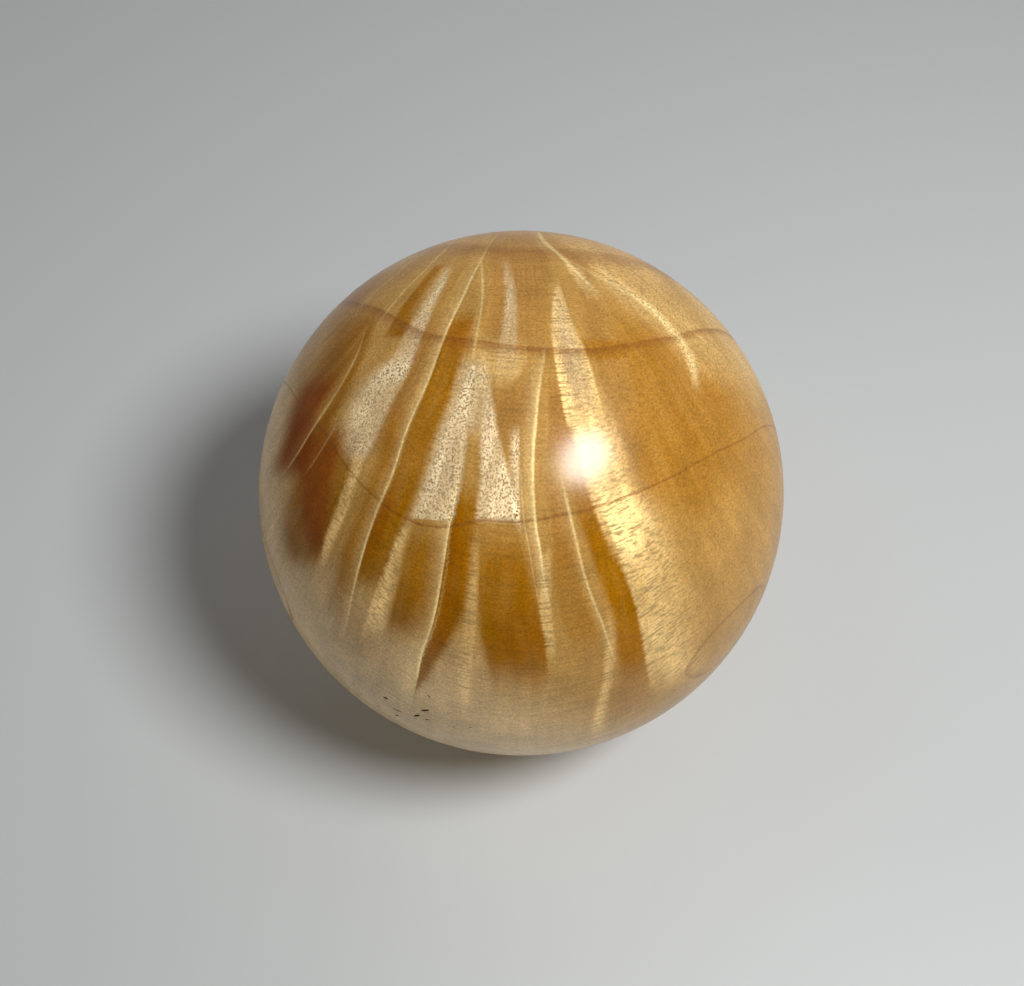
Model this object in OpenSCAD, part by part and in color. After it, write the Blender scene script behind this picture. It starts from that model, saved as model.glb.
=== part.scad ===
// Solid wooden ball, turned from one block of figured hardwood and lacquered.
// The origin is the centre of the ball. +Z is up and -Y is the side that shows the figure best.
// A dozen small open flecks, where bark and gum fell out of the wood, lie low on that side.

/* [Ball] */
// Diameter of the ball
ball_d = 80; // [40:1:120]

/* [Open flecks] */
// Length of a long fleck
long_fleck = 1.9; // [1.4:0.1:3]
// Length of a middling fleck
middle_fleck = 1.1; // [1:0.1:2]
// Length of a short fleck
short_fleck = 0.7; // [0.6:0.05:1.2]
// Width of a broad fleck
broad_fleck = 0.45; // [0.3:0.05:0.5]
// Width of a fine fleck
fine_fleck = 0.3; // [0.15:0.05:0.3]
// Depth of a fleck as a share of its width
fleck_depth_ratio = 0.4; // [0.2:0.05:0.45]

/* [Hidden] */
$fn = 96;

ball_r = ball_d / 2;

// Each open fleck: azimuth from -Y towards +X, height above the equator, roll of its
// long axis above the horizontal, all in degrees, then its length and its width.
FLECKS = [
    [-37.5, -2.5, -25, short_fleck, fine_fleck],
    [-36, -6, -30, short_fleck, fine_fleck],
    [-29, 0.5, 30, middle_fleck, broad_fleck],
    [-31.5, -7, -60, short_fleck, fine_fleck],
    [-26.5, -3, 13, long_fleck, fine_fleck],
    [-27, -6.5, 58, middle_fleck, fine_fleck],
    [-19, 8.5, -57, short_fleck, fine_fleck],
    [-20, 2.5, 39, long_fleck, broad_fleck],
    [-22, -1.5, 57, long_fleck, broad_fleck],
    [-19.5, -1.5, 22, middle_fleck, fine_fleck],
    [-14, -1.5, 18, short_fleck, fine_fleck],
    [-10.5, 0, 11, short_fleck, fine_fleck],
];

// A ring that dips its rim into the ball from outside, and so leaves a boat-shaped fleck
// along X. The surface lies at the origin and the ball's centre is towards +Y.
module fleck_ring(length, width) {
    depth = width * fleck_depth_ratio;
    section_r = (depth ^ 2 + (width / 2) ^ 2) / (2 * depth);
    rim_r = 1 / (8 * depth / length ^ 2 - 1 / ball_r);
    translate([0, depth - rim_r, 0])
        rotate_extrude()
            translate([rim_r - section_r, 0])
                circle(r = section_r);
}

// Sets its children on the ball's surface, with X along the fleck and -Y outward.
module on_surface(azimuth, height, roll) {
    rotate([0, 0, azimuth])
        rotate([-height, 0, 0])
            translate([0, -ball_r, 0])
                rotate([0, -roll, 0])
                    children();
}

module ball() {
    color("peru")
        difference() {
            sphere(d = ball_d);
            for (fleck = FLECKS)
                on_surface(fleck[0], fleck[1], fleck[2])
                    fleck_ring(fleck[3], fleck[4]);
        }
}

ball();
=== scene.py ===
import math

import bmesh
import bpy
from mathutils import Matrix, Vector, noise


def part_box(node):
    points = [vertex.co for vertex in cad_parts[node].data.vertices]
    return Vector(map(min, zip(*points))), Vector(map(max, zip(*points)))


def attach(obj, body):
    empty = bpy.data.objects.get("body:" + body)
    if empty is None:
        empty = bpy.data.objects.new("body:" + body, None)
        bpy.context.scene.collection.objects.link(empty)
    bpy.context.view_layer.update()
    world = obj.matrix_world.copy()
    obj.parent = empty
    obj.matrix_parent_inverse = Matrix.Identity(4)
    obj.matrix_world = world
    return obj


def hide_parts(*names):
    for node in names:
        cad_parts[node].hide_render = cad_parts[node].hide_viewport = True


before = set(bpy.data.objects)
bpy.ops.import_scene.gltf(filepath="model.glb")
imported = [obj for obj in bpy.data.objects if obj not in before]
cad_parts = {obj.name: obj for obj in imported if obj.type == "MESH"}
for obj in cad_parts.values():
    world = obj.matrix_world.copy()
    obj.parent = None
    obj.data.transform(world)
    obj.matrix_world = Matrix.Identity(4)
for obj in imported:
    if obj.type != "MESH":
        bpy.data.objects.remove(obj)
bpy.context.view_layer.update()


# ---------------------------------------------------------------------------------------------
# The ball
# One block of figured hardwood, turned on a lathe between cups and sanded until it rolls true.
# Bark and gum fell out of it low on the front left and left a dozen small ragged flecks.
# ---------------------------------------------------------------------------------------------
MM = 0.001
low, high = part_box("ball")
BALL_R = (high.z - low.z) / 2 / MM
FACE_CUTS = 95  # cuts along each edge of the starting cube, for faces about 0.65 mm wide

# Each fleck: azimuth from the front towards the right, height above the equator and roll of its
# long axis, in degrees, then its length and its width in millimetres.
FLECKS = (
    (-37.5, -2.5, -25, 0.7, 0.3),
    (-36, -6, -30, 0.7, 0.3),
    (-29, 0.5, 30, 1.1, 0.45),
    (-31.5, -7, -60, 0.7, 0.3),
    (-26.5, -3, 13, 1.9, 0.3),
    (-27, -6.5, 58, 1.1, 0.3),
    (-19, 8.5, -57, 0.7, 0.3),
    (-20, 2.5, 39, 1.9, 0.45),
    (-22, -1.5, 57, 1.9, 0.45),
    (-19.5, -1.5, 22, 1.1, 0.3),
    (-14, -1.5, 18, 0.7, 0.3),
    (-10.5, 0, 11, 0.7, 0.3),
)
FLECK_DEPTH = 0.4  # a share of the fleck's width
FLECK_RAGGED = 0.35  # how far the edge wanders, as a share of the fleck's half size
RAGGED_SCALE = 3.1  # wanderings of the edge to a millimetre
FINER_MARGINS = (1.2, 0.8, 0.5, 0.3)  # how far round a fleck each halving of the faces reaches
SAME_SIDE = 0.9  # a fleck reaches only what lies this share of the radius out on its side


def fleck_axes(azimuth, height, roll):
    """The outward, the lengthwise and the crosswise direction of one fleck."""
    turn = Matrix.Rotation(math.radians(azimuth), 3, "Z")
    turn = turn @ Matrix.Rotation(math.radians(-height), 3, "X")
    turn = turn @ Matrix.Rotation(math.radians(-roll), 3, "Y")
    return turn @ Vector((0, -1, 0)), turn @ Vector((1, 0, 0)), turn @ Vector((0, 0, 1))


def turned_ball():
    """A ball of even square faces, made finer where the flecks are and sunk into them."""
    work = bmesh.new()
    bmesh.ops.create_cube(work, size=2)
    bmesh.ops.subdivide_edges(work, edges=work.edges[:], cuts=FACE_CUTS, use_grid_fill=True)
    for vert in work.verts:
        even = Vector(math.tan(c * math.pi / 4) for c in vert.co)
        vert.co = even.normalized() * BALL_R

    for margin in FINER_MARGINS:
        near = set()
        for azimuth, height, roll, length, width in FLECKS:
            out, along, across = fleck_axes(azimuth, height, roll)
            for face in work.faces:
                middle = face.calc_center_median()
                if middle.dot(out) < BALL_R * SAME_SIDE:
                    continue
                in_length = abs(middle.dot(along)) < length / 2 + margin
                in_width = abs(middle.dot(across)) < width / 2 + margin
                if in_length and in_width:
                    near.update(face.edges)
        edges = [edge for edge in work.edges if edge in near]
        bmesh.ops.subdivide_edges(work, edges=edges, cuts=1, use_grid_fill=True)
        for vert in work.verts:
            vert.co = vert.co.normalized() * BALL_R

    for azimuth, height, roll, length, width in FLECKS:
        out, along, across = fleck_axes(azimuth, height, roll)
        for vert in work.verts:
            if vert.co.dot(out) < BALL_R * SAME_SIDE:
                continue
            ragged = 1 + FLECK_RAGGED * noise.noise(vert.co * RAGGED_SCALE)
            end = abs(vert.co.dot(along)) / (length / 2 * ragged)
            side = abs(vert.co.dot(across)) / (width / 2 * ragged)
            reach = end ** 2 + side ** 2
            if reach < 1:
                vert.co -= vert.co.normalized() * width * FLECK_DEPTH * math.sqrt(1 - reach)

    bmesh.ops.scale(work, vec=(MM, MM, MM), verts=work.verts)
    for face in work.faces:
        face.smooth = True
    mesh = bpy.data.meshes.new("turned_ball")
    work.to_mesh(mesh)
    work.free()
    return mesh


ball = bpy.data.objects.new("turned_ball", turned_ball())
bpy.context.scene.collection.objects.link(ball)
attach(ball, "root")
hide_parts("ball")


# Lacquered figured hardwood. The grain runs along X, and the ripples of the figure fan out from
# a pinch at the top. Where the fibres lean towards the light they flash like silk, and where
# they dive into the wood they look deep amber. Both are also painted into the colour: the flash
# as painted sheen on the pale bands, crests and glows, and the deep amber as the wood's deeper
# colour with painted shade. The lacquer is a thin, soft-glossed clear coat.
def linear(code, alpha=1.0):
    """An sRGB hex colour as linear red, green, blue and alpha."""
    parts = [int(code[i:i + 2], 16) / 255 for i in (1, 3, 5)]
    parts = [p / 12.92 if p <= 0.04045 else ((p + 0.055) / 1.055) ** 2.4 for p in parts]
    return tuple(parts) + (alpha,)


def add(tree, kind, inputs=None, **settings):
    """Adds a node, with its settings, and with a value or another node on each input named."""
    node = tree.nodes.new(kind)
    for name, value in settings.items():
        setattr(node, name, value)
    for name, value in (inputs or {}).items():
        if isinstance(value, bpy.types.Node):
            value = next(socket for socket in value.outputs if socket.enabled)
        if isinstance(value, bpy.types.NodeSocket):
            tree.links.new(value, node.inputs[name])
        else:
            node.inputs[name].default_value = value
    return node


# The bands of the figure, in millimetres in the plane square to the ripples: x is across and
# w is up the fan. A row gives the heights of a band's top and bottom, the places of its left
# edge and of its right edge at the top, the middle and the bottom, the widths over which the
# left edge, the right edge and the ends fade, and how strong it is.
# The deep amber bands: partly the wood's deeper colour, partly painted shade where the fibres dive
# away from the light.
AMBER = (
    (32, 21.5, (-12.4, -15.4, -18.4), (-11, -13.8, -15.8), 0.5, 1.4, 1, 0.95),
    (25, 3, (-26, -31, -36), (-19.5, -23.6, -29), 4, 1.6, 5, 0.95),
    (8, -10, (-29, -32.5, -33), (-21.5, -24.6, -27.5), 3, 1, 4, 0.95),
    (10, -14, (-17.5, -21.3, -26.2), (-14.3, -18.7, -22.8), 1.8, 0.4, 8, 0.9),
    (24, -12, (-9.6, -15.4, -22.6), (-6.3, -11.6, -18.5), 0.4, 1.6, 3, 0.85),
    (-5.5, -19, (-14.6, -17, -18.3), (-9.4, -10.4, -12.3), 1.6, 0.3, 6, 0.9),
    (0, -27.5, (-8.5, -10.6, -15.1), (-5.8, -7.4, -14.3), 0.25, 1.6, 5, 1),
    (-6, -25, (-5.6, -6, -4.6), (1.2, 2.4, 3.2), 1.4, 0.6, 8, 0.95),
    (-6, -21, (3.4, 4.6, 6.5), (7, 9, 11), 0.8, 1.6, 8, 0.45),
    (-2, -24, (6.6, 10.8, 13.4), (9.2, 14.2, 17.6), 1.2, 0.6, 7, 1),
    (24, -3, (12, 14.6, 17), (19, 28, 26), 3, 6, 9, 0.6),
    (20, 0, (23, 27, 29), (27, 33, 35), 2, 5, 8, 0.3),
    (20.6, 17.6, (7.8, 8, 8.2), (20, 21, 22), 0.6, 3, 1.2, 0.6),
)
# The darker ember patches: likewise partly deeper colour, partly painted shade.
EMBER = (
    (16, 3, (-30.5, -33, -35), (-25.5, -28.5, -30), 3, 2, 4, 0.95),
    (8, -8, (-31, -30.5, -30), (-24.5, -25.8, -27), 2.5, 2, 5, 0.85),
    (23, 18, (-9.5, -9.8, -9.5), (-6.3, -6.5, -6.8), 0.8, 0.5, 2.5, 0.3),
    (0, -9, (-18, -19.5, -21.2), (-16, -17.5, -19.5), 0.5, 1.5, 5, 0.4),
    (-4, -22, (-9.1, -10.2, -12.5), (-7.5, -8.6, -11), 0.3, 1.6, 8, 0.35),
    (-15, -23, (-4, -3.5, -2.5), (2.2, 2.6, 3), 3, 1.2, 6, 0.25),
)
# The brown bands, where the ripples turn from deep to pale.
BROWN = (
    (24, 6, (-12.5, -16.5, -20.5), (-9.9, -13.6, -16), 2, 0.4, 5, 0.7),
    (14, 7, (-3.8, -3.3, -2.8), (1, 0.9, 1), 0.8, 0.8, 4, 0.6),
    (14, 5, (3.2, 3.4, 3.2), (5.2, 6, 7.4), 0.6, 0.5, 4, 0.8),
    (1, -10, (3.2, 4, 4.6), (5.6, 6.2, 7.8), 0.6, 0.6, 6, 0.7),
    (2, -9, (6.4, 7.4, 9.4), (9.4, 10.2, 12.4), 0.8, 0.6, 4, 0.85),
    (25, -3, (8, 11, 15), (11, 14.5, 18), 0.8, 3, 6, 0.6),
    (-18, -30, (13.4, 13.6, 13.8), (16.8, 17.3, 17.8), 1.5, 1, 6, 0.5),
    (40, 20, (-4.6, -4.2, -4.4), (3.5, 3.6, 3.8), 1.2, 1.2, 8, 0.5),
    (33, 26, (-24, -25.6, -27.5), (-19, -21, -24), 3, 1.6, 5, 0.9),
    (36.5, 32, (3.6, 5, 7), (14, 16, 18), 1, 4, 2, 0.25),
    (32, 22, (6.2, 8.2, 8.6), (9, 10.4, 11.5), 1, 1.6, 5, 0.6),
    (-14, -23, (-26, -26, -25), (-21, -20, -18), 4, 5, 8, 0.4),
)
# The pale bands with open pores, then the pale bands with close fibres. Their paleness is partly
# painted sheen.
PORED = (
    (16.5, -3.6, (-7.2, -10.8, -14.1), (-5.8, -7.2, -8.9), 2.2, 1, 0.3, 0.8),
    (16.5, -3.3, (-5.3, -5.2, -5.9), (-4.4, -2.6, -0.1), 1, 0.7, 1.2, 0.72),
    (8, -4, (-1.2, -1.2, -0.6), (-0.2, -0.2, 0), 1.2, 0.3, 3, 0.7),
    (31, 15, (-11, -14.5, -19.5), (-9.9, -12.7, -15.9), 1.8, 0.8, 3, 0.65),
    (18, 4.5, (-18, -23.2, -23.4), (-14.9, -17.6, -21), 3, 1.2, 3, 0.6),
    (31, 17, (-2.6, -2.3, -3), (-1.6, -0.6, -0.6), 0.8, 0.8, 6, 0.45),
    (17, 8, (-8, -9, -9.5), (-4, -3.8, -3.6), 1.5, 0.8, 4, 0.45),
    (27, 11, (4.4, 4.4, 6.5), (5.4, 7.8, 10), 1, 1, 4, 0.4),
)
SILK = (
    (5, -9.5, (-22.4, -24.6, -28), (-21.2, -23, -26.3), 1.2, 0.8, 5, 0.55),
    (27.5, 9, (4.6, 4.2, 6), (5, 5.4, 8), 0.4, 1, 3, 0.85),
    (28, 9, (4.6, 7.2, 10), (5.4, 8.3, 11.4), 2.6, 0.5, 3, 0.85),
    (13, -7, (6.2, 7.7, 11.2), (10.9, 14, 17), 0.8, 3.6, 7, 0.75),
    (0, -27, (9.4, 14.5, 18.2), (16.5, 21.5, 24.5), 0.8, 8, 6, 0.75),
    (31.8, 15, (9, 18.8, 23.4), (12, 20.4, 24), 1.2, 2.6, 5, 0.95),
    (-8, -21, (2.7, 2.5, 3), (3.8, 4, 4.2), 0.5, 0.7, 5, 0.6),
    (-17, -34, (11, 11.2, 10), (12.2, 12.4, 11.4), 1, 1.2, 7, 0.6),
    (-5, -30, (-6.3, -7.9, -9.2), (-5.6, -6.3, -8), 1.4, 0.6, 8, 0.4),
    (-4, -18, (-14.8, -18.3, -21.5), (-14, -16, -18.5), 0.8, 1.2, 5, 0.6),
    (33, 27, (5.4, 7, 8.8), (6.2, 9, 11), 0.8, 1.6, 3, 0.5),
    (31, 14, (22, 27, 31), (26, 33, 36), 5, 5, 10, 0.45),
    (20, 14, (-6, -5.5, -5), (0.5, 0.5, -1), 1, 1.2, 4, 0.4),
    (37, 16, (5, 14, 25), (16, 24, 31), 4, 4, 6, 0.4),
)
# The bright crests of the ripples, painted sheen in the colour. A row gives the heights of a
# crest's top and bottom, its place at the top, the middle and the bottom, the widths over which it
# fades to the left and to the right, and how strong it is.
CRESTS = (
    (34, 26, (-16, -19.5, -23.5), 0.51, 0.85, 0.23),
    (36, 24, (-10.6, -14.8, -19), 0.51, 0.51, 0.4),
    (31, 16, (9, 19.7, 23.5), 1.1, 1.8, 0.6),
    (32.5, -17, (-5.7, -15.2, -23.8), 0.59, 0.34, 0.92),
    (32, 17, (-5.7, -5.6, -6.6), 0.34, 0.59, 0.57),
    (21, 3.5, (-22, -26.3, -33), 0.59, 0.43, 0.52),
    (9, 3, (-25.3, -27.3, -29.8), 0.43, 0.51, 0.29),
    (16.5, -13, (2.6, 1.6, 3.3), 0.68, 0.43, 0.98),
    (2, -15, (0, 0.8, 2.4), 0.34, 0.26, 0.4),
    (1, -21, (5.3, 8, 12), 0.43, 0.59, 0.69),
    (3, -29, (-8, -11, -15.3), 0.77, 0.21, 0.98),
    (39, 28.5, (2.2, 4.8, 9.6), 0.6, 1.1, 0.75),
)
NO_BAND = (1, 0, (0, 0, 0), (0, 0, 0), 1, 1, 1, 0)


def bands(tree, across, along, rows):
    """The strength of a set of bands, three of them at a time in the channels of a vector."""
    total = 0.0
    for first in range(0, len(rows), 3):
        three = list(rows[first:first + 3])
        while len(three) < 3:
            three.append(NO_BAND)
        top, bottom, left, right, fade_left, fade_right, fade_end, strength = zip(*three)
        half = [(t - b) / 2 for t, b in zip(top, bottom)]
        centre = [-(t + b) / 2 / h for t, b, h in zip(top, bottom, half)]
        # The level runs from -1 at a band's bottom to 1 at its top.
        level = add(tree, "ShaderNodeVectorMath", operation="MULTIPLY_ADD", inputs={
            0: along, 1: [1 / h for h in half], 2: centre})
        sides = []
        for edge, fade, sign in ((left, fade_left, 1), (right, fade_right, -1)):
            bow = [(e[0] + e[2]) / 2 - e[1] for e in edge]
            slope = [(e[0] - e[2]) / 2 for e in edge]
            place = add(tree, "ShaderNodeVectorMath", operation="MULTIPLY_ADD", inputs={
                0: level, 1: bow, 2: slope})
            place = add(tree, "ShaderNodeVectorMath", operation="MULTIPLY_ADD", inputs={
                0: level, 1: place, 2: [e[1] for e in edge]})
            inside = add(tree, "ShaderNodeVectorMath", operation="SUBTRACT", inputs={
                0: across, 1: place})
            sides.append(add(
                tree, "ShaderNodeMapRange", data_type="FLOAT_VECTOR",
                interpolation_type="SMOOTHSTEP", inputs={
                    6: inside, 7: [-sign * f / 2 for f in fade], 8: [sign * f / 2 for f in fade]}))
        reach = add(tree, "ShaderNodeVectorMath", operation="ABSOLUTE", inputs={0: level})
        soft = [f / 2 / h for f, h in zip(fade_end, half)]
        ends = add(
            tree, "ShaderNodeMapRange", data_type="FLOAT_VECTOR",
            interpolation_type="SMOOTHSTEP", inputs={
                6: reach, 7: [1 + s for s in soft], 8: [1 - s for s in soft]})
        body = add(tree, "ShaderNodeVectorMath", operation="MULTIPLY", inputs={
            0: sides[0], 1: sides[1]})
        body = add(tree, "ShaderNodeVectorMath", operation="MULTIPLY", inputs={0: body, 1: ends})
        some = add(tree, "ShaderNodeVectorMath", operation="DOT_PRODUCT", inputs={
            0: body, 1: strength})
        total = add(tree, "ShaderNodeMath", operation="MAXIMUM", inputs={
            0: some.outputs["Value"], 1: total})
    return total


# A crest's glow, painted sheen, lies on its left.
GLOW_WIDTH = 6  # times the crest's own fade to the left
GLOW_SHARE = 0.6  # times the square of the crest's own strength


def crest_bands():
    """The crests as rows of bands, and the painted glow beside each as another set of rows."""
    crests = []
    glows = []
    for top, bottom, middle, left, right, strength in CRESTS:
        taper = (top - bottom) / 3
        left_edge = [c - left / 6 for c in middle]
        right_edge = [c + right / 6 for c in middle]
        crests.append((top, bottom, left_edge, right_edge, left, right, taper, strength))
        left_edge = [c - left for c in middle]
        share = strength ** 2 * GLOW_SHARE
        glows.append((top, bottom, left_edge, middle, left * GLOW_WIDTH, right, taper, share))
    return crests, glows


# The rings round the pith. A row gives a ring's radius, the widths over which it darkens from
# inside and clears again outside, and how strong it is.
RINGS = (
    (6.3, 0.8, 0.3, 0.45),
    (29, 0.15, 0.35, 0.55),
    (43.5, 1.2, 0.25, 0.55),
    (54.5, 2.5, 1, 0.4),
    (65, 1.5, 0.6, 0.5),
)
# The pith's height up the fan and its depth in the block: its place in the middle, its slope to
# the right and its bow.
PITH_HEIGHT = (-20, -0.1, 0.0033)
PITH_DEPTH = (16, 0.1, -0.0038)
# Low on the left of the fan the rings are pinched into a notch.
NOTCH_ACROSS = -15
NOTCH_WIDTHS = (1, 11)  # half the width of its floor, and half the width of its mouth
NOTCH_DROP = -3.6
NOTCH_HEIGHTS = (14, 8)  # where it starts and where it is full


def growth_rings(tree, grown, across, along, square):
    """How dark the growth rings make the wood, as thin lines where they meet the surface."""
    pith = []
    for middle, slope, bow in (PITH_HEIGHT, PITH_DEPTH):
        place = add(tree, "ShaderNodeMath", operation="MULTIPLY_ADD", inputs={
            0: square, 1: bow, 2: middle})
        pith.append(add(tree, "ShaderNodeMath", operation="MULTIPLY_ADD", inputs={
            0: across, 1: slope, 2: place}))
    notch = add(tree, "ShaderNodeMath", operation="SUBTRACT", inputs={0: across, 1: NOTCH_ACROSS})
    notch = add(tree, "ShaderNodeMath", operation="ABSOLUTE", inputs={0: notch})
    notch = add(tree, "ShaderNodeMapRange", interpolation_type="SMOOTHSTEP", inputs={
        0: notch, 1: NOTCH_WIDTHS[0], 2: NOTCH_WIDTHS[1], 3: NOTCH_DROP, 4: 0.0})
    lower = add(tree, "ShaderNodeMapRange", interpolation_type="SMOOTHSTEP", inputs={
        0: along, 1: NOTCH_HEIGHTS[0], 2: NOTCH_HEIGHTS[1], 3: 0.0, 4: 1.0})
    height = add(tree, "ShaderNodeMath", operation="MULTIPLY_ADD", inputs={
        0: notch, 1: lower, 2: pith[0]})
    pith = add(tree, "ShaderNodeCombineXYZ", inputs={0: across, 1: height, 2: pith[1]})
    away = add(tree, "ShaderNodeVectorMath", operation="DISTANCE", inputs={0: grown, 1: pith})
    away = away.outputs["Value"]
    lines = 0.0
    for radius, inner, outer, strength in RINGS:
        line = add(tree, "ShaderNodeMapRange", interpolation_type="SMOOTHSTEP", inputs={
            0: away, 1: radius - inner, 2: radius, 3: 0.0, 4: strength})
        after = add(tree, "ShaderNodeMapRange", interpolation_type="SMOOTHSTEP", inputs={
            0: away, 1: radius, 2: radius + outer, 3: 1.0, 4: 0.0})
        line = add(tree, "ShaderNodeMath", operation="MULTIPLY", inputs={0: line, 1: after})
        lines = add(tree, "ShaderNodeMath", operation="MAXIMUM", inputs={0: line, 1: lines})
    return lines


# The pale bands' fibres lean in this direction: up, to the front and a little to the right.
FIBRES_RISE = (0.21, -0.455, 0.866)


def leaning_fibres(tree, lean):
    """The way the wood faces under the lacquer, once its fibres have leaned by an amount."""
    facing = add(tree, "ShaderNodeNewGeometry").outputs["Normal"]
    rise = add(tree, "ShaderNodeVectorTransform", vector_type="NORMAL", convert_from="OBJECT",
               convert_to="WORLD", inputs={0: FIBRES_RISE})
    outward = add(tree, "ShaderNodeVectorMath", operation="DOT_PRODUCT", inputs={
        0: rise, 1: facing})
    outward = add(tree, "ShaderNodeVectorMath", operation="SCALE", inputs={
        0: facing, "Scale": outward.outputs["Value"]})
    sideways = add(tree, "ShaderNodeVectorMath", operation="SUBTRACT", inputs={
        0: rise, 1: outward})
    sideways = add(tree, "ShaderNodeVectorMath", operation="SCALE", inputs={
        0: sideways, "Scale": lean})
    fibres = add(tree, "ShaderNodeVectorMath", operation="ADD", inputs={0: facing, 1: sideways})
    return add(tree, "ShaderNodeVectorMath", operation="NORMALIZE", inputs={0: fibres})


# Sizes of the grain, in millimetres.
BLOCK_TILT = 33  # degrees that the fan leans back from the ball's own upright
WANDER = 0.8  # how far bands and rings stray to either side
WANDER_LONG = 12  # the length of a stray
FIBRE = (10, 0.34, 0.34)  # a close fibre's length, width and depth
FIBRE_BOW = 0.6  # half the slope that the fibres reach at the ball's sides
FRAY = 0.1  # how far a band's edge frays to either side, along the fibres
STREAK = (1 / 3, 16, 16)  # a fanned streak: its width in the fan's own measure, then millimetres
WEAVE = (1 / 1.6, 9, 9)  # the slower coming and going of the bands, in the same measure
FAN_WIDTH = 3.1  # millimetres to one measure of the fan, half way down it
FAN_OPENS = 0.066  # by how much that grows for each millimetre down the fan
PORE = (0.25, 0.3, 0.25)  # open pores, drawn about twice as wide as real ones so that they show
SPECKLE = 0.3  # specks over all the wood, drawn about as coarse as the pores
MOTTLE = 5  # slow cloudy patches
CREST_FLICKER = 7  # the length over which a crest brightens and dims
LACQUER = 0.6  # coat weight of the full film
SOAKED = 0.4  # the share of it that deep wood soaks up


def figured_hardwood():
    wood = bpy.data.materials.new("lacquered_figured_hardwood")
    wood.use_nodes = True
    tree = wood.node_tree
    tree.nodes.clear()

    # The block's own axes, in millimetres: X along the grain, Y up the fan, Z out of its face.
    place = add(tree, "ShaderNodeTexCoord")
    block = add(tree, "ShaderNodeMapping", inputs={
        "Vector": place.outputs["Object"], "Rotation": (math.radians(-BLOCK_TILT), 0, 0),
        "Scale": (1 / MM, 1 / MM, 1 / MM)})
    stray = add(tree, "ShaderNodeTexNoise", inputs={
        "Vector": block, "Scale": 1 / WANDER_LONG, "Detail": 0.5})
    stray = add(tree, "ShaderNodeVectorMath", operation="MULTIPLY_ADD", inputs={
        0: stray.outputs["Color"], 1: [2 * WANDER] * 3, 2: [-WANDER] * 3})
    grown = add(tree, "ShaderNodeVectorMath", operation="ADD", inputs={0: block, 1: stray})
    axes = add(tree, "ShaderNodeSeparateXYZ", inputs={0: grown})
    across, along, depth = axes.outputs
    square = add(tree, "ShaderNodeMath", operation="MULTIPLY", inputs={0: across, 1: across})

    # Close fibres along the grain, about 0.6 mm apart and bowed with the rings.
    bowed = add(tree, "ShaderNodeMath", operation="MULTIPLY_ADD", inputs={
        0: square, 1: -FIBRE_BOW / BALL_R, 2: along})
    fibre = add(tree, "ShaderNodeCombineXYZ", inputs={0: across, 1: bowed, 2: depth})
    fibre = add(tree, "ShaderNodeMapping", inputs={
        "Vector": fibre, "Scale": [1 / size for size in FIBRE]})
    hatch = add(tree, "ShaderNodeTexNoise", inputs={"Vector": fibre, "Scale": 1.0, "Detail": 1.0})
    hatch = add(tree, "ShaderNodeMapRange", inputs={0: hatch, 1: 0.37, 2: 0.52, 3: 0.0, 4: 1.0})
    frayed = add(tree, "ShaderNodeMath", operation="MULTIPLY_ADD", inputs={
        0: hatch, 1: 2 * FRAY, 2: -FRAY})
    frayed = add(tree, "ShaderNodeMath", operation="ADD", inputs={0: across, 1: frayed})
    clean = add(tree, "ShaderNodeCombineXYZ", inputs={0: across, 1: across, 2: across})
    frayed = add(tree, "ShaderNodeCombineXYZ", inputs={0: frayed, 1: frayed, 2: frayed})
    level = add(tree, "ShaderNodeCombineXYZ", inputs={0: along, 1: along, 2: along})

    amber = bands(tree, frayed, level, AMBER)
    ember = bands(tree, frayed, level, EMBER)
    brown = bands(tree, frayed, level, BROWN)
    pored = bands(tree, frayed, level, PORED)
    silk = bands(tree, frayed, level, SILK)
    crest_rows, glow_rows = crest_bands()
    flicker = add(tree, "ShaderNodeTexNoise", inputs={
        "Vector": block, "Scale": 1 / CREST_FLICKER, "Detail": 1.0})
    flicker = add(tree, "ShaderNodeMapRange", inputs={
        0: flicker, 1: 0.32, 2: 0.58, 3: 0.8, 4: 1.25})
    crest = bands(tree, clean, level, crest_rows)
    crest = add(tree, "ShaderNodeMath", operation="MULTIPLY", inputs={0: crest, 1: flicker})
    glow = bands(tree, clean, level, glow_rows)
    rings = growth_rings(tree, grown, across, along, square)

    # Streaks that open with the fan, about 1 mm apart half way down it.
    spread = add(tree, "ShaderNodeMath", operation="MULTIPLY_ADD", inputs={
        0: along, 1: -FAN_OPENS, 2: FAN_WIDTH})
    fan = add(tree, "ShaderNodeMath", operation="DIVIDE", inputs={0: across, 1: spread})
    fan = add(tree, "ShaderNodeCombineXYZ", inputs={0: fan, 1: along, 2: depth})
    streak = add(tree, "ShaderNodeMapping", inputs={
        "Vector": fan, "Scale": [1 / size for size in STREAK]})
    streak = add(tree, "ShaderNodeTexNoise", inputs={"Vector": streak, "Scale": 1.0, "Detail": 3.0})
    weave = add(tree, "ShaderNodeMapping", inputs={
        "Vector": fan, "Scale": [1 / size for size in WEAVE]})
    weave = add(tree, "ShaderNodeTexNoise", inputs={"Vector": weave, "Scale": 1.0, "Detail": 1.0})
    weave = add(tree, "ShaderNodeMapRange", inputs={0: weave, 1: 0.3, 2: 0.7, 3: 0.6, 4: 1.1})
    pored = add(tree, "ShaderNodeMath", operation="MULTIPLY", inputs={0: pored, 1: weave})
    silk = add(tree, "ShaderNodeMath", operation="MULTIPLY", inputs={0: silk, 1: weave})
    deepness = add(tree, "ShaderNodeMath", operation="MULTIPLY_ADD", inputs={
        0: weave, 1: 0.8, 2: 0.28})
    amber = add(tree, "ShaderNodeMath", operation="MULTIPLY", use_clamp=True, inputs={
        0: amber, 1: deepness})

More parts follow.
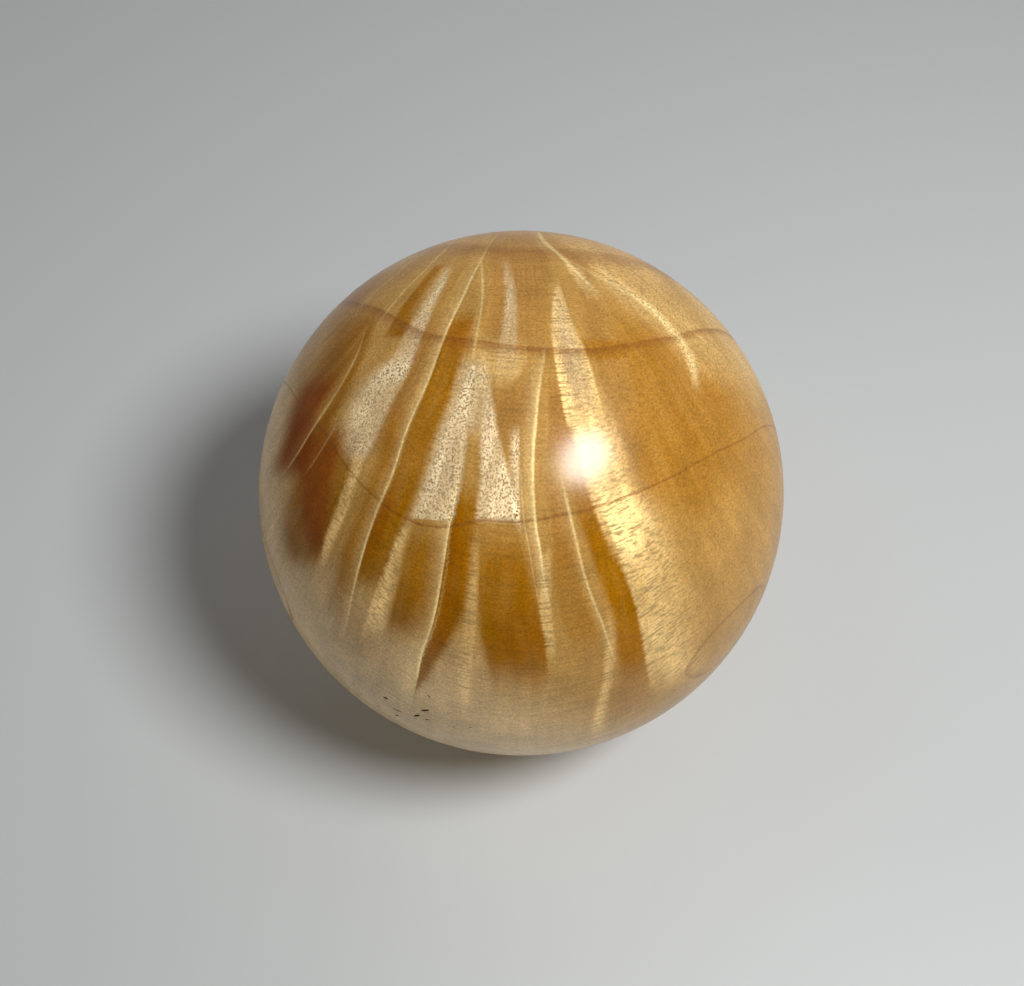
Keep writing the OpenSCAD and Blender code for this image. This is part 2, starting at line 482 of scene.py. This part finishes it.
    pores = add(tree, "ShaderNodeMapping", inputs={
        "Vector": block, "Scale": [1 / size for size in PORE]})
    pores = add(tree, "ShaderNodeTexNoise", inputs={"Vector": pores, "Scale": 1.0, "Detail": 0.0})
    pores = add(tree, "ShaderNodeMapRange", inputs={0: pores, 1: 0.48, 2: 0.66, 3: 0.0, 4: 1.0})
    speckle = add(tree, "ShaderNodeTexNoise", inputs={
        "Vector": block, "Scale": 1 / SPECKLE, "Detail": 1.0})
    mottle = add(tree, "ShaderNodeTexNoise", inputs={
        "Vector": block, "Scale": 1 / MOTTLE, "Detail": 2.0})

    # The wood is paler low on the left, and along its left side: partly its own paler tone, partly
    # painted sheen for the light and the pale table top that this edge catches and reflects.
    pale = add(tree, "ShaderNodeMath", operation="MULTIPLY_ADD", inputs={
        0: across, 1: 0.6, 2: along})
    pale = add(tree, "ShaderNodeMapRange", interpolation_type="SMOOTHSTEP", inputs={
        0: pale, 1: -20.0, 2: -38.0, 3: 0.0, 4: 1.0})
    side = add(tree, "ShaderNodeMapRange", interpolation_type="SMOOTHSTEP", inputs={
        0: across, 1: -31.0, 2: -36.0, 3: 0.0, 4: 0.6})
    pale = add(tree, "ShaderNodeMath", operation="MAXIMUM", inputs={0: pale, 1: side})
    colour = add(tree, "ShaderNodeMix", data_type="RGBA", inputs={
        0: pale, 6: linear("#BE9049"), 7: linear("#F2CE96")})
    # Painted light goes into the colour here: the pored bands, silk, glows and crests are painted
    # sheen, and the amber and ember bands are partly painted shade.
    for strength, code in (
        (brown, "#AB7838"),
        (amber, "#A86C00"),
        (ember, "#9A4C00"),
        (pored, "#FFECC0"),
        (silk, "#EAC684"),
        (glow, "#EED094"),
        (rings, "#8A5220"),
        (crest, "#FFE7A4"),
    ):
        colour = add(tree, "ShaderNodeMix", data_type="RGBA", inputs={
            0: strength, 6: colour, 7: linear(code)})

    # Pores darken the pored bands, close fibres hatch the silk most, and streaks, specks and
    # cloudy patches run over all of it.
    hatched = add(tree, "ShaderNodeMath", operation="MULTIPLY_ADD", inputs={
        0: silk, 1: 0.52, 2: 0.12})
    hatched = add(tree, "ShaderNodeMath", operation="MULTIPLY", inputs={0: hatched, 1: hatch})
    open_pores = add(tree, "ShaderNodeMath", operation="MULTIPLY_ADD", inputs={
        0: silk, 1: 0.15, 2: pored})
    open_pores = add(tree, "ShaderNodeMath", operation="MULTIPLY", use_clamp=True, inputs={
        0: pores, 1: open_pores})
    colour = add(tree, "ShaderNodeMix", data_type="RGBA", inputs={
        0: open_pores, 6: colour, 7: linear("#8A5C28")})
    shade = add(tree, "ShaderNodeMath", operation="MULTIPLY_ADD", inputs={
        0: silk, 1: -0.28, 2: 0.93})
    shade = add(tree, "ShaderNodeMath", operation="ADD", inputs={0: hatched, 1: shade})
    for texture, amount in ((streak, 0.4), (speckle, 0.9), (mottle, 0.5)):
        swing = add(tree, "ShaderNodeMath", operation="MULTIPLY_ADD", inputs={
            0: texture, 1: amount, 2: 1 - amount / 2})
        shade = add(tree, "ShaderNodeMath", operation="MULTIPLY", inputs={0: shade, 1: swing})
    colour = add(tree, "ShaderNodeVectorMath", operation="SCALE", inputs={
        0: colour, "Scale": shade})

    # The flecks show bare dark bark, so anything below the turned surface has no lacquer.
    radius = add(tree, "ShaderNodeVectorMath", operation="LENGTH", inputs={0: block})
    hollow = add(tree, "ShaderNodeMapRange", inputs={
        0: radius.outputs["Value"], 1: BALL_R - 0.02, 2: BALL_R - 0.08, 3: 0.0, 4: 1.0})
    colour = add(tree, "ShaderNodeMix", data_type="RGBA", inputs={
        0: hollow, 6: colour, 7: linear("#4E2812")})
    # Deep wood is nearly end grain, which soaks up lacquer, so the film is thin there.
    soaked = add(tree, "ShaderNodeMath", operation="ADD", inputs={0: amber, 1: ember})
    soaked = add(tree, "ShaderNodeMath", operation="MULTIPLY_ADD", use_clamp=True, inputs={
        0: soaked, 1: SOAKED, 2: hollow})
    lacquer = add(tree, "ShaderNodeMath", operation="MULTIPLY_ADD", inputs={
        0: soaked, 1: -LACQUER, 2: LACQUER})

    # Pale bands lean one way and glint a little like satin, and deep bands lean the other way.
    satin = add(tree, "ShaderNodeMath", operation="MAXIMUM", inputs={0: pored, 1: silk})
    satin = add(tree, "ShaderNodeMath", operation="MAXIMUM", inputs={0: satin, 1: glow})
    satin = add(tree, "ShaderNodeMath", operation="MAXIMUM", inputs={0: satin, 1: crest})
    lean = add(tree, "ShaderNodeMath", operation="MULTIPLY", inputs={0: amber, 1: -0.12})
    lean = add(tree, "ShaderNodeMath", operation="MULTIPLY_ADD", inputs={
        0: satin, 1: 0.7, 2: lean})
    fibres = leaning_fibres(tree, lean)
    glint = add(tree, "ShaderNodeMath", operation="MULTIPLY_ADD", inputs={
        0: satin, 1: 0.2, 2: 0.06})

    finish = add(tree, "ShaderNodeBsdfPrincipled", inputs={
        "Base Color": colour,
        "Metallic": glint,
        "Roughness": 0.55,
        "Specular IOR Level": 0.0,
        "Normal": fibres,
        "Coat Weight": lacquer,
        "Coat Roughness": 0.2,
        "Coat IOR": 1.5,
        "Sheen Weight": 0.06,
        "Sheen Roughness": 0.4,
    })
    add(tree, "ShaderNodeOutputMaterial", inputs={0: finish})
    return wood


ball.data.materials.append(figured_hardwood())


# ---------------------------------------------------------------------------------------------
# The table top, the light and the camera
# A plain pale laminate top under a soft lamp high on the front right. A wide window behind on
# the right and a smaller one on the left are kept out of reflections, and the pale room shows
# in nothing but reflections.
# ---------------------------------------------------------------------------------------------
FLOOR_HALF = 1.5
corners = [(x * FLOOR_HALF, y * FLOOR_HALF, low.z) for x, y in ((-1, -1), (1, -1), (1, 1), (-1, 1))]
floor_mesh = bpy.data.meshes.new("table_top")
floor_mesh.from_pydata(corners, [], [(0, 1, 2, 3)])
floor = bpy.data.objects.new("table_top", floor_mesh)
bpy.context.scene.collection.objects.link(floor)
laminate = bpy.data.materials.new("pale_laminate")
laminate.use_nodes = True
laminate.node_tree.nodes.clear()
top_finish = add(laminate.node_tree, "ShaderNodeBsdfPrincipled", inputs={
    "Base Color": linear("#D0D3D3"), "Roughness": 0.5})
add(laminate.node_tree, "ShaderNodeOutputMaterial", inputs={0: top_finish})
floor_mesh.materials.append(laminate)

world = bpy.data.worlds.new("pale_room")
bpy.context.scene.world = world
world.use_nodes = True
room = world.node_tree.nodes["Background"]
room.inputs["Color"].default_value = linear("#F2F4F5")
room.inputs["Strength"].default_value = 0.16
world.cycles_visibility.diffuse = False


def lamp(name, azimuth, height, away, wide, tall, watts, shape="RECTANGLE", mirrored=False):
    """A flat soft light that faces the ball, from an azimuth and a height in degrees."""
    turn, rise = math.radians(azimuth), math.radians(height)
    way = Vector((math.sin(turn) * math.cos(rise), -math.cos(turn) * math.cos(rise), math.sin(rise)))
    data = bpy.data.lights.new(name, "AREA")
    data.shape = shape
    data.size = wide
    data.size_y = tall
    data.energy = watts
    light = bpy.data.objects.new(name, data)
    light.location = way * away
    light.rotation_euler = way.to_track_quat("Z", "Y").to_euler()
    light.visible_glossy = mirrored
    bpy.context.scene.collection.objects.link(light)


lamp("desk_lamp", 55, 60, 0.4, 0.15, 0.115, 1.45, "ELLIPSE", mirrored=True)
lamp("back_window", 146, 15, 1.2, 1.9, 0.65, 6.5)
lamp("left_window", 244, 18, 1.2, 1.2, 0.6, 3.6)

PITCH = math.radians(57)
CAMERA_AWAY = 6 * BALL_R * MM
CAMERA_LEFT = 1.4 * MM
camera_data = bpy.data.cameras.new("camera")
camera_data.sensor_width = 36
camera_data.lens = 54.6
camera = bpy.data.objects.new("camera", camera_data)
camera.location = (-CAMERA_LEFT, -CAMERA_AWAY * math.cos(PITCH), CAMERA_AWAY * math.sin(PITCH))
camera.rotation_euler = (math.pi / 2 - PITCH, 0, 0)
bpy.context.scene.collection.objects.link(camera)
bpy.context.scene.camera = camera
bpy.context.scene.view_settings.view_transform = "Standard"
